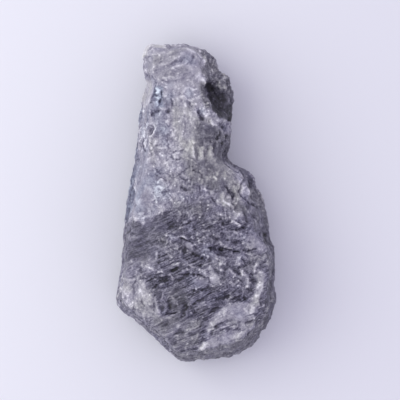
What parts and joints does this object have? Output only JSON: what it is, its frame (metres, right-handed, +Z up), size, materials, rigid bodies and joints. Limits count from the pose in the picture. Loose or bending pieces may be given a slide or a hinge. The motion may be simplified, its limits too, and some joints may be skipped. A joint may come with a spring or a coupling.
{
  "type": "rough diamond",
  "caption": "Elongated, flattened rough diamond crystal with stepped cleavage faces, a hollow in one side of its narrower end and a flat cleavage face to rest on.",
  "frame": {"origin": "centre of the bounding box in X and Y, on the plane of the flat face that the stone rests on", "axes": "+Y towards the narrow end along the stone's length, +X across its width towards the side with the hollow, +Z up from the resting face"},
  "size_m": [0.0064, 0.013, 0.0047],
  "materials": {
    "diamond": "natural etched and cleaved diamond surface, greasy to adamantine, nearly opaque grey"
  },
  "bodies": {
    "root": {"rough_diamond": "diamond"}
  },
  "joints": []
}
